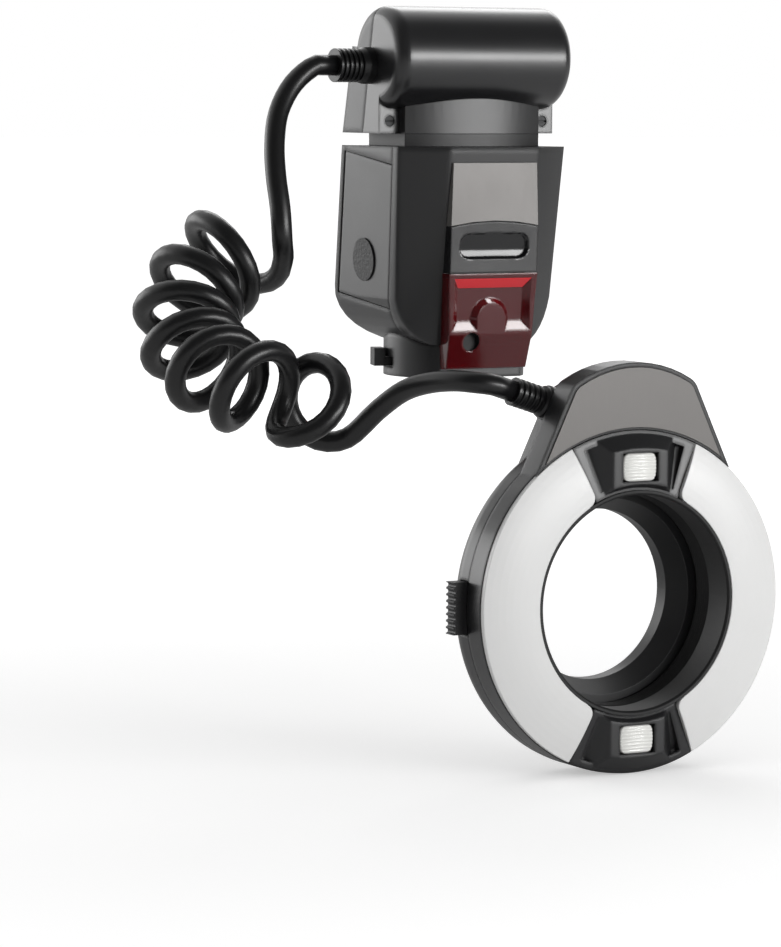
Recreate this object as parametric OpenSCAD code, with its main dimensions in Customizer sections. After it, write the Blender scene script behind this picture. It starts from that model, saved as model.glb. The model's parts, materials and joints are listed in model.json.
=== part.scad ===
// Macro ring flash: a shoe-mounted control unit and a ring head on the lens, joined by a curly cord.
// Millimetres. The origin is the centre of the shoe foot's bottom face, +Z is up and the lens looks along -Y.

/* [Ring head] */
// Outer radius of the ring casing
ring_r = 53; // [52:0.5:55]
// Depth of the ring head, from its back face to the front of the diffusers
ring_depth = 25; // [25:0.5:28]
// Width of the light ring, from the clear bore to the rim
light_w = 19.8; // [19.4:0.1:20.2]
// Height of the tower's top above the lens axis
tower_top = 73.5; // [72:0.5:76]
// Half of the angle that each lamp pod takes out of the light band
pod_half_angle = 25; // [22:1:28]
// Height of a release button
button_h = 16; // [14:0.5:19]
// How far a release button goes in
button_travel = 2.2; // [1.5:0.1:2.4]

/* [Lens adapter] */
// Radius of the lens thread that holds the ring head
thread_r = 29; // [26:0.5:31]
// Length of that thread
thread_len = 4; // [3:0.5:6]

/* [Control body] */
// Half of the body's width at its top
body_half_w = 31.1; // [30:0.1:33]
// Height of the body's top above the foot
body_top = 79.2; // [78:0.2:82]
// Half of the width of the front panels
panel_half_w = 16.4; // [15:0.2:17]
// Radius of the round base below the body
base_r = 23; // [22:0.25:24]
// Thickness of the body's and the head's shells
wall = 2; // [1.8:0.1:2.2]

/* [Control head] */
// Half of the head's length
head_half_len = 32.5; // [31:0.5:34]
// Radius of the head's drum
head_r = 16.5; // [16:0.25:17.5]
// Height of the neck between the body and the head
neck_h = 4.1; // [3.5:0.1:6]

/* [Shoe foot] */
// Width of the foot plate
foot_w = 18.6; // [18.4:0.1:18.8]
// Length of the foot plate
foot_len = 18; // [17:0.5:18]
// Thickness of the foot plate
foot_t = 2; // [1.9:0.05:2.1]

/* [Place of the ring] */
// Lens axis below the foot
axis_drop = 58; // [56:0.5:60]
// Front of the ring ahead of the foot's centre
ring_reach = 114; // [112:0.5:116]

/* [Cord] */
// Diameter of the cord
cord_d = 6.6; // [5.8:0.1:6.8]
// Radius of the curls at the cord's centre line
curl_r = 13.4; // [13:0.1:13.6]

/* [Fits] */
// Gap between pieces that move past each other
move_gap = 0.3; // [0.3:0.05:0.4]
// Gap between fixed pieces that sit in each other
seat_gap = 0.1; // [0.05:0.05:0.15]
// Radial gap of a shaft that turns in its hole
run_gap = 0.05; // [0.03:0.01:0.08]

/* [Hidden] */
$fn = 96;
eps = 0.01;
far = 100;
black = [0.07, 0.07, 0.08];
dark = [0.13, 0.13, 0.14];
warm_grey = [0.42, 0.41, 0.39];
milky = [0.88, 0.88, 0.87];
steel = [0.72, 0.72, 0.74];
board_green = [0.10, 0.28, 0.16];

// Ring head, in its own frame: z runs forward from the back face, y is up
bore_r = ring_r - light_w;
rear_wall = 1.6;
back_round = 8;
part_z = ring_depth / 2;
face_z = ring_depth - 3;
seat_z = ring_depth - 4.5;
seat_r = ring_r + 0.05;
liner_t = 1.4;
liner_r = bore_r + liner_t;
tower_lean = 25.5;
tower_foot_y = ring_r * 0.805;
tower_foot_w = ring_r * 0.632;
tower_low_y = 30;
tower_round = 6.5;
tower_dome_r = 40;
dome_steps = 5;
tower_back_inset = 4;
tower_back_z = 2.4;
plate_border = 1.4;
plate_pocket = 0.6;
plate_proud = 0.3;
plate_arc_r = ring_r + 0.6;
diffuser_in_r = liner_r + seat_gap;
diffuser_out_r = ring_r - 0.25;
diffuser_drop = 2.8;
diffuser_t = 2.2;
diffuser_corner = 3;
board_t = 1.4;
board_z = part_z + 0.1;
pod_gap_angle = 0.3;
pod_side_angle = 4.3;
pod_back_z = board_z + board_t + 0.5;
pod_face_z = face_z + 0.2;
pod_lip_z = ring_depth - 0.8;
pod_wall_r = ring_r - wall - seat_gap;
moat_r = [diffuser_in_r + 2, ring_r - 2.6];
moat_z = [pod_lip_z - 0.6, pod_face_z - 2];
lens_w = 12;
lens_h = 8.6;
lens_t = 2;
lens_mid_r = diffuser_in_r + 7.1;
lens_pocket = 2.3;
lens_side_gap = 0.4;
block_front_z = ring_depth + 1;
block_half_w = 9.6;
block_side_run = 1.1;
block_top_rim = 1.4;
block_low_rim = 0.8;
reflector_t = 0.6;
reflector_z = board_z + board_t + 0.2;
reflector_foot = 3.4;
reflector_lip = (diffuser_out_r - diffuser_in_r) / 2 - 2.25;
reflector_end_angle = 2;
tube_r = 2;
tube_mid_r = (diffuser_in_r + diffuser_out_r) / 2;
tube_z = reflector_z + reflector_t + tube_r + 0.9;
tube_end_angle = 5;

// Lens adapter: two lips with the latch groove between them
lip_r = bore_r + 2.7;
groove_r = bore_r + 0.9;
groove_z0 = rear_wall - 0.2;
groove_z1 = groove_z0 + 3.3;
lip_t = 1.5;
adapter_back_z = -1.5;
adapter_in_r = thread_r - 2.4;
rear_hole_r = lip_r + 0.4;
liner_back_z = groove_z1 + lip_t + move_gap;

// Release buttons and latch plates
button_proud = 4.3;
button_t = 4.7;
button_z0 = part_z - move_gap - button_t;
button_mid_z = button_z0 + button_t / 2;
button_ribs = 8;
button_cap_x = ring_r - 1;
shank_half_y = 6.5;
shank_in_x = ring_r - 6.6;
plate_t = 1;
plate_in_r = rear_hole_r + button_travel + 0.4;
plate_out_r = ring_r - 9;
claw_r = groove_r + 0.6;
claw_half_y = 5;
latch_z = [rear_wall + move_gap, rear_wall + 2 * move_gap + plate_t];
riser_out_x = shank_in_x - 0.01;
riser_t = 1.6;
riser_half_y = 4;
notch_x = riser_out_x - riser_t - 2 * button_travel - move_gap;
spring_wire_r = 0.25;
spring_r = 1.6;
spring_turns = 6;

// Cord glands
gland_ribs = 5;
ring_gland_tilt = 18;
ring_gland_y = 61;
ring_gland_z = 7;
ring_gland_x = 23;
ring_gland_len = 12;
ring_gland_r = 4.4;
boss_r = 5.4;
head_gland_len = 13;
head_gland_r = 5.4;
gland_neck_r = 4;

// Control body: the side outline leans back towards the foot, and the sides draw in
rear_top_y = 20.4;
rear_tilt = 9.86;
side_draw = 2.48;
facet_lean = 7;
facet_pivot_z = 54;
facet_front_y = -22.7;
facet_slope = 0.566;
facet_inset = 1.1;
split_y = -11;
belly_z = 15;
rear_bend_z = 33;
rear_corner = [29.3, 20.5];
rear_low = [12, 16.2];
side_bend_z = 30;
side_corner = [body_half_w - 4.3, 18.6];
side_low_x = body_half_w - 14.1;
body_reach = 40;
cell_lean = 8;
neck_half_w = 25;
neck_side_y = -11;
neck_front_y = -15.5;
neck_back_y = 13;
head_z0 = body_top + neck_h;
drum_y = -5.2;
drum_z = head_z0 + 24.3;
drum_round = 4.5;
head_gland_y = drum_y + 4.2;
head_gland_z = drum_z - 2.6;
head_back_tilt = 12.8;
leg_front_y = -7.3;
head_split_tilt = 10.4;
head_split_y = 3.3;
screw_x = 28.5;
screw_z = head_z0 + 4;
screw_r = 1.7;

// Front panels: the line that their faces follow, and where one ends and the next begins
panel_line = [[6, -20.6], [8, -21.1], [19, -24.1], [30, -24.8], [39, -25.7], [54, -26.2], [80, -26.2]];
plate_top_z = 74.2;
plate_low_z = 53.8;
plate_arch = 1.6;
plate_taper = 0.9;
gloss_low_z = 38.7;
window_low_z = 7.8;
panel_gap = 0.25;
panel_back_y = -9;
window_t = 1.5;
window_front_t = 3.2;
window_taper = 1.5;
scoop_half_w = 12.8;
scoop_z = 47.6;
scoop_r = 4.2;
scoop_depth = 2;
scoop_slope = 2.6;
assist_low_z = 21;
assist_high_z = 33;
assist_half_w = 11;
sensor_x = -6.9;
sensor_z = 16.6;
sensor_r = 3;
sensor_depth = 2;
sensor_back_y = -17.6;

// Recess in the red window: each pair is a place at the window's face and on the recess floor
recess_z = 28.6;
recess_tilt = 4.6;
recess_depth = 1.6;
recess_high = [8.3, 5.3];
recess_low = [-8.2, -5.6];
recess_half = [14.2, 12];
tongue_r = [5.4, 7];
tongue_z = -4.9;

// Battery door on the left side
door_top_rear = [17.4, 77.2];
door_top_front = [-13.2, 73.2];
door_low_front = [-7.5, 27];
door_low_rear = [25.4, 31];
hinge_r = wall / 2 - 0.05;
hinge_pin_r = 0.5;
hinge_pin_len = 1.2;
pad_r = 7;
pad_y = 7.4;
pad_z = 42.3;
pad_t = 0.5;
cell_r = 7.1;
cell_len = 50.5;
cell_pitch = 15;
cell_low = -30.5;
cell_x = -16.5;
cell_y = -3.5;
contact_inset = 1.4;
divider_x = [5.8, 7];
main_board_x = [8.4, 10];
slab_gap = 0.2;
control_room = 8;
capacitor_at = [18.4, 1.5, -24];
capacitor_r = 7.9;
capacitor_len = 42;
contact_t = 0.4;

// Base, foot and lock
foot_neck_w = 12.4;
base_z0 = foot_t + 2.6;
base_front_y = -17.5;
base_h = 18;
post_r = 5;
lever_t = 2.8;
lever_z0 = base_z0 + 3;
lever_hub_r = 9;
lever_arm_w = 6;
lever_angle = 161;
lever_swing = 40;
slot_spare = 20;
tab_r = [base_r + 0.4, base_r + 4];
tab_w = 8;
tab_top = lever_z0 + 5.8;
pin_r = 1.25;
pin_y = 6.6;
pin_top = lever_z0 - 0.6;
contact_r = 1.1;
contact_h = 0.8;
contact_places = [[0, 0], [-4.5, 4.5], [4.5, 4.5], [-4.5, -4.5], [4.5, -4.5]];

// Rear controls, in the rear face's own frame: x to the right seen from behind, y up from the top edge
key_w = 9;
key_h = 4.4;
key_y = -9;
key_pitch = 14;
key_proud = 0.9;
key_lip = 0.7;
key_lip_t = 0.9;
dial_y = -27;
dial_r = 11;
dial_t = 2.5;
dial_hub_r = 4;
dial_notches = 24;
set_r = 4.8;
set_stem_r = 1.6;
switch_x = 15;
low_row_y = -41;
switch_w = 6.4;
switch_h = 2.8;
switch_travel = 5;
test_x = -15;
test_r = 3.2;
glass_w = 46;
glass_h = 19;
glass_t = 1.6;
glass_mid_z = head_z0 + 14;

// Cord: one axis point for each curl, and the points that the free stretches pass
fine = 3;
curls = 7.45;
curl_rings = 60;
curl_axis = [[-76, 1, 49], [-90.5, -3, 39.5], [-101, -9.5, 30.5], [-106, -19, 21],
    [-106, -31.5, 13], [-103, -47, 8], [-91, -61, 4], [-68, -43, 0]];
curl_phase = 240;
curl_flare = 1.6;
upper_route = [[-60.5, -1.5, 99], [-67, -4, 90], [-70.5, -8, 80], [-72, -12, 70],
    [-72, -15, 60], [-71.5, -15.5, 50]];
lower_route = [[-60, -58, -1], [-56.5, -68, 5.5], [-53.5, -78, 8.5], [-50.2, -87.7, 9.8], [-46.3, -94, 9.6]];

// Points of an arc about c, from angle a0 to a1
function arc(c, r, a0, a1, n = 8) =
    [for (i = [0:n]) c + r * [cos(a0 + (a1 - a0) * i / n), sin(a0 + (a1 - a0) * i / n)]];

// Points of a curve that leaves a towards b and arrives at c
function bend(a, b, c, n = 6) =
    [for (i = [0:n]) let (t = i / n) (1 - t) * (1 - t) * a + 2 * t * (1 - t) * b + t * t * c];

// A closed outline mirrored across x = 0 from its right half
function both_sides(half) =
    concat(half, [for (i = [len(half) - 1:-1:0]) [-half[i][0], half[i][1]]]);

// Outline (y, z) drawn out along x
module prism_x(points, half) {
    translate([-half, 0, 0]) rotate([90, 0, 90]) linear_extrude(2 * half) polygon(points);
}

// Outline (x, z) drawn out along y, from y0 to y1
module prism_y(points, y0, y1) {
    translate([0, y1, 0]) rotate([90, 0, 0]) linear_extrude(y1 - y0) polygon(points);
}

module box(low, high) {
    translate(low) cube(high - low);
}

module at_ring() {
    translate([0, ring_depth - ring_reach, -axis_drop]) rotate([90, 0, 0]) children();
}

// Tower of the ring casing, with all its sides drawn in by an inset
function tower_half(y, inset) =
    tower_foot_w - (y - tower_foot_y) * tan(tower_lean) - inset / cos(tower_lean);
// Its outline: leaning sides, round corners and a domed top, all tangent to each other
function tower_points(inset) =
    let (r = max(tower_round - inset, 1), dome_r = tower_dome_r - inset, dome_y = tower_top - tower_dome_r,
        t = tan(tower_lean), a = tower_half(dome_y, inset + r), k = 1 + t * t,
        u = (a * t + sqrt(k * (dome_r - r) * (dome_r - r) - a * a)) / k,
        corner = [a - u * t, dome_y + u], end = atan2(u, a - u * t), step = (90 - end) / (dome_steps + 0.5))
    both_sides(concat([[tower_half(tower_low_y, inset), tower_low_y]], arc(corner, r, tower_lean, end),
        arc([0, dome_y], dome_r, end + step, end + dome_steps * step, dome_steps - 1)));

module tower(inset, z0, z1) {
    translate([0, 0, z0]) linear_extrude(z1 - z0) polygon(tower_points(inset));
}

module ring_front_shell() {
    color(black) at_ring() difference() {
        union() {
            translate([0, 0, part_z]) cylinder(r = ring_r, h = face_z - part_z);
            tower(0, part_z, face_z);
        }
        translate([0, 0, part_z - 1]) cylinder(r = ring_r - wall, h = seat_z - part_z + 1);
        translate([0, 0, seat_z]) cylinder(r = seat_r, h = ring_depth);
        tower(wall, part_z - 1, face_z - wall);
        plate_blank(plate_border, plate_arc_r, face_z - plate_pocket, ring_depth);
    }
}

module plate_blank(inset, arc_r, z0, z1) {
    difference() {
        tower(inset, z0, z1);
        translate([0, 0, z0 - 1]) cylinder(r = arc_r, h = z1 - z0 + 2);
    }
}

module ring_nameplate() {
    color(warm_grey) at_ring()
        plate_blank(plate_border + seat_gap, plate_arc_r + seat_gap,
            face_z - plate_pocket, face_z + plate_proud);
}

// Frame of a release button: x outwards on either side
module on_side(side) {
    at_ring() mirror([side > 0 ? 0 : 1, 0, 0]) children();
}

module at_ring_gland() {
    at_ring() translate([-ring_gland_x, ring_gland_y, ring_gland_z])
        rotate([0, 0, -ring_gland_tilt]) rotate([0, -90, 0]) children();
}

module ring_rear_shell() {
    bowl_mid = ring_r - back_round;
    color(black) difference() {
        union() {
            at_ring() rotate_extrude() polygon(concat([[0, 0]],
                arc([bowl_mid, back_round], back_round, -90, 0), [[ring_r, part_z], [0, part_z]]));
            at_ring() tower(tower_back_inset, tower_back_z, part_z);
            at_ring_gland() translate([0, 0, -10]) cylinder(r = boss_r, h = 10);
        }
        at_ring() rotate_extrude() polygon(concat([[0, rear_wall]],
            arc([bowl_mid, back_round], back_round - rear_wall, -90, 0),
            [[ring_r - rear_wall, part_z + 1], [0, part_z + 1]]));
        at_ring() tower(tower_back_inset + rear_wall, tower_back_z + rear_wall, part_z + 1);
        at_ring() translate([0, 0, -1]) cylinder(r = rear_hole_r, h = rear_wall + 2);
        at_ring_gland() translate([0, 0, -12]) cylinder(r = gland_neck_r + seat_gap, h = 13);
        for (side = [-1, 1])
            on_side(side) box([ring_r - 7, -button_h / 2 - move_gap, button_z0 - move_gap],
                [ring_r + 3, button_h / 2 + move_gap, part_z + 1]);
    }
}

module bore_liner() {
    ridge_z0 = liner_back_z + 1;
    ridge_pitch = 1.1;
    color(black) at_ring() rotate_extrude() polygon(concat(
        [[bore_r, liner_back_z]],
        [for (i = [0:5]) each [[bore_r, ridge_z0 + i * ridge_pitch],
            [bore_r - 0.45, ridge_z0 + (i + 0.5) * ridge_pitch]]],
        [[bore_r, ridge_z0 + 6 * ridge_pitch], [bore_r, ring_depth - 0.8], [bore_r + 0.6, ring_depth - 0.2],
        [liner_r, ring_depth - 0.2], [liner_r, liner_back_z]]));
}

// Band of the light ring between two angles, from a profile of radius and height
module ring_band(from_angle, to_angle, profile) {
    rotate([0, 0, from_angle]) rotate_extrude(angle = to_angle - from_angle) polygon(profile);
}

// What rounds a corner off, with the corner at r, angle a, on the side that dir says
module corner_cut(r, a, r_dir, a_dir) {
    c = diffuser_corner;
    rotate([0, 0, a]) translate([r, 0, seat_z - 2]) linear_extrude(ring_depth)
        polygon(concat([[-r_dir, -a_dir], [-r_dir, a_dir * c]],
            [for (p = arc([c, c], c, 180, 270, 6)) [r_dir * p[0], a_dir * p[1]]], [[r_dir * c, -a_dir]]));
}

function diffuser_face(t) = [diffuser_in_r + (diffuser_out_r - diffuser_in_r) * t,
    ring_depth - diffuser_drop * t * t];

module diffuser(from_angle, to_angle) {
    steps = 8;
    front = [for (i = [0:steps]) diffuser_face(i / steps)];
    back = [for (i = [steps:-1:0]) let (p = diffuser_face(i / steps))
        [p[0] - (i == steps ? diffuser_t : 0), p[1] - diffuser_t]];
    profile = concat(front, [[diffuser_out_r, seat_z], [diffuser_out_r - diffuser_t, seat_z]],
        [for (p = back) [p[0], max(p[1], seat_z)]]);
    color(milky) at_ring() difference() {
        ring_band(from_angle, to_angle, profile);
        corner_cut(diffuser_in_r, from_angle, 1, 1);
        corner_cut(diffuser_in_r, to_angle, 1, -1);
    }
}

// Lamp block that stands out of a pod, with four sloping sides
module lamp_block() {
    rise = block_front_z - pod_back_z;
    low = lens_mid_r - lens_h / 2 - block_low_rim;
    high = lens_mid_r + lens_h / 2 + block_top_rim;
    foot = [diffuser_in_r + 0.5, diffuser_out_r - 0.4];
    intersection() {
        ring_band(90 - pod_half_angle + 1, 90 + pod_half_angle - 1, [
            [foot[0], pod_back_z + 1], [pod_wall_r - 0.3, pod_back_z + 1], [pod_wall_r - 0.3, seat_z + 0.3],
            [foot[1], seat_z + 0.3], [foot[1], pod_face_z - 0.3], [high, block_front_z],
            [low, block_front_z], [foot[0], pod_lip_z - 0.4]]);
        prism_y(both_sides([[block_half_w + rise * block_side_run, pod_back_z],
            [block_half_w - block_side_run, block_front_z + 1]]), 0, far);
    }
}

module pod(turn) {
    half = pod_half_angle - pod_gap_angle;
    moat_half = pod_half_angle - pod_side_angle;
    color(black) at_ring() rotate([0, 0, turn]) difference() {
        union() {
            difference() {
                ring_band(90 - half, 90 + half, [
                    [diffuser_in_r, pod_back_z], [pod_wall_r, pod_back_z], [pod_wall_r, seat_z],
                    [diffuser_out_r, seat_z], [diffuser_out_r, pod_face_z], [diffuser_in_r, pod_lip_z]]);
                ring_band(90 - moat_half, 90 + moat_half, [[moat_r[0], moat_z[0]], [moat_r[1], moat_z[1]],
                    [moat_r[1], ring_depth], [moat_r[0], ring_depth]]);
            }
            lamp_block();
        }
        box([-lens_w / 2 - lens_side_gap, lens_mid_r - lens_h / 2 - seat_gap, block_front_z - lens_pocket],
            [lens_w / 2 + lens_side_gap, lens_mid_r + lens_h / 2 + seat_gap, block_front_z + 1]);
    }
}

module lamp_lens(turn) {
    z0 = block_front_z - lens_pocket;
    color([0.95, 0.95, 0.94]) at_ring() rotate([0, 0, turn])
        box([-lens_w / 2, lens_mid_r - lens_h / 2, z0], [lens_w / 2, lens_mid_r + lens_h / 2, z0 + lens_t]);
}

module flash_tube(from_angle, to_angle) {
    color([0.9, 0.92, 0.95]) at_ring() translate([0, 0, tube_z]) rotate([0, 0, from_angle])
        rotate_extrude(angle = to_angle - from_angle) translate([tube_mid_r, 0]) circle(r = tube_r);
}

module reflector(from_angle, to_angle) {
    foot = reflector_foot;
    lip = reflector_lip;
    rise = seat_z - 0.4;
    t = reflector_t;
    color(steel) at_ring() ring_band(from_angle, to_angle, [
        [tube_mid_r - lip, rise], [tube_mid_r - foot, reflector_z], [tube_mid_r + foot, reflector_z],
        [tube_mid_r + lip, rise], [tube_mid_r + lip - t, rise], [tube_mid_r + foot - t, reflector_z + t],
        [tube_mid_r - foot + t, reflector_z + t], [tube_mid_r - lip + t, rise]]);
}

module ring_board() {
    color(board_green) at_ring() translate([0, 0, board_z]) difference() {
        cylinder(r = ring_r - wall - move_gap, h = board_t);
        translate([0, 0, -1]) cylinder(r = liner_r + seat_gap, h = board_t + 2);
    }
}

// Ribbed boot on a neck that goes into the casing, with its foot at z = 0
module ribbed_gland(r, length, foot_len, neck_len) {
    pitch = (length - foot_len) / gland_ribs;
    core = max(r * 0.84, cord_d / 2 + 0.3);
    color(black) rotate_extrude() polygon(concat(
        [[0, -neck_len], [gland_neck_r, -neck_len], [gland_neck_r, 0], [r + 0.5, 0],
        [r + 0.5, foot_len * 0.6], [r, foot_len]],
        [for (i = [0:gland_ribs - 1]) let (z = foot_len + i * pitch)
            each [[core, z + pitch * 0.15], [core, z + pitch * 0.45], [r, z + pitch * 0.55], [r, z + pitch]]],
        [[0, length]]));
}

module ring_gland() {
    at_ring_gland() ribbed_gland(ring_gland_r, ring_gland_len, 2, 4);
}

module release_button(side) {
    half = button_h / 2;
    rib = button_h / (2 * button_ribs);
    color(dark) on_side(side) difference() {
        union() {
            box([button_cap_x, -half, button_z0], [ring_r + button_proud, half, button_z0 + button_t]);
            box([shank_in_x, -shank_half_y, button_z0 + 0.5],
                [button_cap_x, shank_half_y, button_z0 + button_t - 0.5]);
            box([ring_r - 5.2, -half - 1.6, button_z0 + 0.5],
                [ring_r - 4, half + 1.6, button_z0 + button_t - 0.5]);
        }
        for (i = [0:button_ribs - 1])
            translate([ring_r + button_proud, -half + (2 * i + 1) * rib, button_z0 - 1])
                cylinder(r = rib * 0.7, h = button_t + 2);
    }
}

// Plate round the bore: a riser meets the button, and a claw on the far side holds the adapter's groove
module latch_plate(side) {
    z0 = side < 0 ? latch_z[0] : latch_z[1];
    color(steel) on_side(side) {
        difference() {
            union() {
                translate([0, 0, z0]) cylinder(r = plate_out_r, h = plate_t);
                box([plate_in_r, -riser_half_y, z0], [riser_out_x, riser_half_y, z0 + plate_t]);
                box([riser_out_x - riser_t, -riser_half_y, z0],
                    [riser_out_x, riser_half_y, button_mid_z + 1.4]);
            }
            difference() {
                translate([0, 0, z0 - 1]) cylinder(r = plate_in_r, h = plate_t + 2);
                box([-plate_in_r - 1, -claw_half_y, z0 - 2], [-claw_r, claw_half_y, z0 + plate_t + 3]);
            }
            box([-ring_r, -riser_half_y - move_gap, z0 - 1],
                [-notch_x, riser_half_y + move_gap, z0 + plate_t + 1]);
        }
    }
}

module latch_spring(side) {
    start = riser_out_x - riser_t - spring_wire_r - 0.05;
    length = start - liner_r - spring_wire_r - 0.15;
    steps = 8 * spring_turns;
    path = [for (i = [0:steps]) [start - length * i / steps,
        spring_r * cos(360 * i / 8), button_mid_z + spring_r * sin(360 * i / 8)]];
    color(steel) on_side(side) tube(path, tangents(path), spring_wire_r, 6);
}

module adapter_ring() {
    thread_z0 = adapter_back_z - thread_len;
    color(dark) at_ring() rotate_extrude() polygon([[adapter_in_r, thread_z0], [thread_r, thread_z0],
        [thread_r, adapter_back_z], [lip_r, adapter_back_z], [lip_r, groove_z0], [groove_r, groove_z0],
        [groove_r, groove_z1], [lip_r, groove_z1], [lip_r - 0.7, groove_z1 + lip_t],
        [adapter_in_r + 4, groove_z1 + lip_t], [adapter_in_r, adapter_back_z + 1]]);
}

// Control body

function side_rear_y(z, inset) = rear_top_y + (body_top - z) * tan(rear_tilt) - inset / cos(rear_tilt);
function front_half_w(z, inset) = body_half_w - (body_top - z) * tan(side_draw) - inset;

function side_outline(inset) = let (top = body_top - inset) concat(
    [[-body_reach, top], [side_rear_y(top, inset), top]],
    bend([side_rear_y(rear_bend_z, inset), rear_bend_z], rear_corner + [-inset, inset],
        rear_low + [0, inset]),
    [[-body_reach, belly_z + inset]]);

function front_outline(inset) = both_sides(concat([[front_half_w(body_top, inset), body_top + 1]],
    bend([front_half_w(side_bend_z, inset), side_bend_z], side_corner + [-inset, inset],
        [side_low_x - inset, belly_z + inset])));

module facet_frame() {
    translate([0, 0, facet_pivot_z]) rotate([facet_lean, 0, 0]) children();
}

module body_solid(inset) {
    y = facet_front_y + inset * facet_inset;
    wide_y = y + (body_reach - panel_half_w) * facet_slope;
    intersection() {
        prism_x(side_outline(inset), body_reach);
        prism_y(front_outline(inset), -far, far);
        facet_frame() translate([0, 0, -far]) linear_extrude(2 * far)
            polygon(both_sides([[panel_half_w, y], [body_reach, wide_y], [body_reach, far]]));
    }
}

module body_skin() {
    difference() {
        body_solid(0);
        body_solid(wall);
    }
}

module body_front_shell() {
    color(black) intersection() {
        body_skin();
        facet_frame() box([-far, -far, -far], [far, split_y, far]);
    }
}

// Battery door's outline in the side view, grown by a margin, with its own margin at the hinge
module door_blank(margin, hinge_margin) {
    m = margin;
    h = hinge_margin;
    prism_x([door_top_rear + [h, m], door_top_front + [-m, m], door_low_front + [-m, -m],
        door_low_rear + [h, -m]], far);
}

// Rod along the door's hinge, in the middle of the wall
module hinge_rod(r, over) {
    top = [-front_half_w(door_top_rear[1], wall / 2), door_top_rear[0], door_top_rear[1]];
    way = [-front_half_w(door_low_rear[1], wall / 2), door_low_rear[0], door_low_rear[1]] - top;
    translate(top) rotate([0, acos(way[2] / norm(way)), atan2(way[1], way[0])])
        translate([0, 0, -over]) cylinder(r = r, h = norm(way) + 2 * over);
}

module left_half() {
    box([-far, -far, 0], [0, far, far]);
}

module at_rear() {
    translate([0, rear_top_y, body_top]) rotate([90 - rear_tilt, 0, 180]) children();
}

module body_rear_shell() {
    color(black) difference() {
        intersection() {
            body_skin();
            facet_frame() box([-far, split_y + eps, -far], [far, far, far]);
        }
        intersection() {
            door_blank(move_gap, hinge_r + move_gap);
            left_half();
        }
        hinge_rod(hinge_pin_r + run_gap, hinge_pin_len + move_gap);
        at_rear() control_holes();
    }
}

module control_holes() {
    deep = 4 * wall;
    for (i = [-1:1])
        translate([i * key_pitch, key_y, -deep / 2]) key_prism(move_gap, deep);
    translate([0, dial_y, -deep / 2]) cylinder(r = dial_hub_r + run_gap, h = deep);
    translate([test_x, low_row_y, -deep / 2]) cylinder(r = test_r + move_gap, h = deep);
    translate([switch_x - switch_travel / 2, low_row_y, 0])
        box([-switch_w / 2 - move_gap, -switch_h / 2 - move_gap, -deep / 2],
            [switch_w / 2 + switch_travel + move_gap, switch_h / 2 + move_gap, deep / 2]);
}

// Key outline with round ends, grown by a margin
module key_prism(margin, h) {
    r = key_h / 2 + margin;
    flat = key_w / 2 - key_h / 2;
    for (side = [-1, 1])
        translate([side * flat, 0, 0]) cylinder(r = r, h = h);
    translate([-flat, -r, 0]) cube([2 * flat, 2 * r, h]);
}

module key(index) {
    lip_z = -wall - move_gap - key_lip_t;
    color(dark) at_rear() translate([index * key_pitch, key_y, 0]) {
        translate([0, 0, lip_z]) key_prism(0, key_proud - lip_z);
        translate([0, 0, lip_z]) key_prism(key_lip, key_lip_t);
    }
}

module select_dial() {
    collar_z = -wall - move_gap - 0.9;
    cup_z = move_gap + 0.9;
    color(dark) at_rear() translate([0, dial_y, 0]) difference() {
        union() {
            translate([0, 0, move_gap]) cylinder(r = dial_r, h = dial_t);
            translate([0, 0, collar_z]) cylinder(r = dial_hub_r, h = move_gap - collar_z + eps);
            translate([0, 0, collar_z]) cylinder(r = dial_hub_r + 0.9, h = 0.9);
        }
        translate([0, 0, collar_z - 1]) cylinder(r = set_stem_r + move_gap, h = 20);
        translate([0, 0, cup_z]) cylinder(r = set_r + move_gap, h = 20);
        for (i = [0:dial_notches - 1])
            rotate([0, 0, i * 360 / dial_notches]) translate([dial_r + 0.2, 0, 0]) cylinder(r = 0.6, h = 10);
    }
}

module set_key() {
    cup_z = move_gap + 0.9;
    foot_z = -wall - 3.2;
    color(dark) at_rear() translate([0, dial_y, 0]) {
        translate([0, 0, cup_z + 1]) cylinder(r = set_r, h = 1.4);
        translate([0, 0, foot_z]) cylinder(r = set_stem_r, h = cup_z + 1 - foot_z + eps);
        translate([0, 0, foot_z]) cylinder(r = set_stem_r + 1, h = 0.9);
    }
}

module power_switch() {
    low = -wall - move_gap - 0.9;
    color(dark) at_rear() translate([switch_x - switch_travel / 2, low_row_y, 0]) {
        box([-switch_w / 2, -switch_h / 2, low], [switch_w / 2, switch_h / 2, 1.4]);
        box([-switch_w / 2 - 1, -switch_h / 2 - 1, low], [switch_w / 2 + 1, switch_h / 2 + 1, low + 0.9]);
    }
}

module test_key() {
    low = -wall - move_gap - 0.9;
    color([0.9, 0.35, 0.1]) at_rear() translate([test_x, low_row_y, low]) {
        cylinder(r = test_r, h = 0.8 - low);
        cylinder(r = test_r + 0.8, h = 0.9);
    }
}

module battery_door() {
    color(black) {
        intersection() {
            body_skin();
            door_blank(0, 0);
            left_half();
        }
        hinge_rod(hinge_r, -move_gap);
        hinge_rod(hinge_pin_r, hinge_pin_len);
    }
}

module door_pad() {
    x = front_half_w(pad_z, 0);
    color(dark) translate([-x, pad_y, pad_z]) rotate([0, -90 - side_draw, 0]) cylinder(r = pad_r, h = pad_t);
}

module at_cells() {
    translate([0, 0, facet_pivot_z]) rotate([cell_lean, 0, 0]) children();
}

module battery_cells() {
    color([0.75, 0.62, 0.35]) at_cells()
        for (i = [0, 1], j = [0, 1])
            translate([cell_x + i * cell_pitch, cell_y + j * cell_pitch, cell_low])
                cylinder(r = cell_r, h = cell_len);
}

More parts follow.
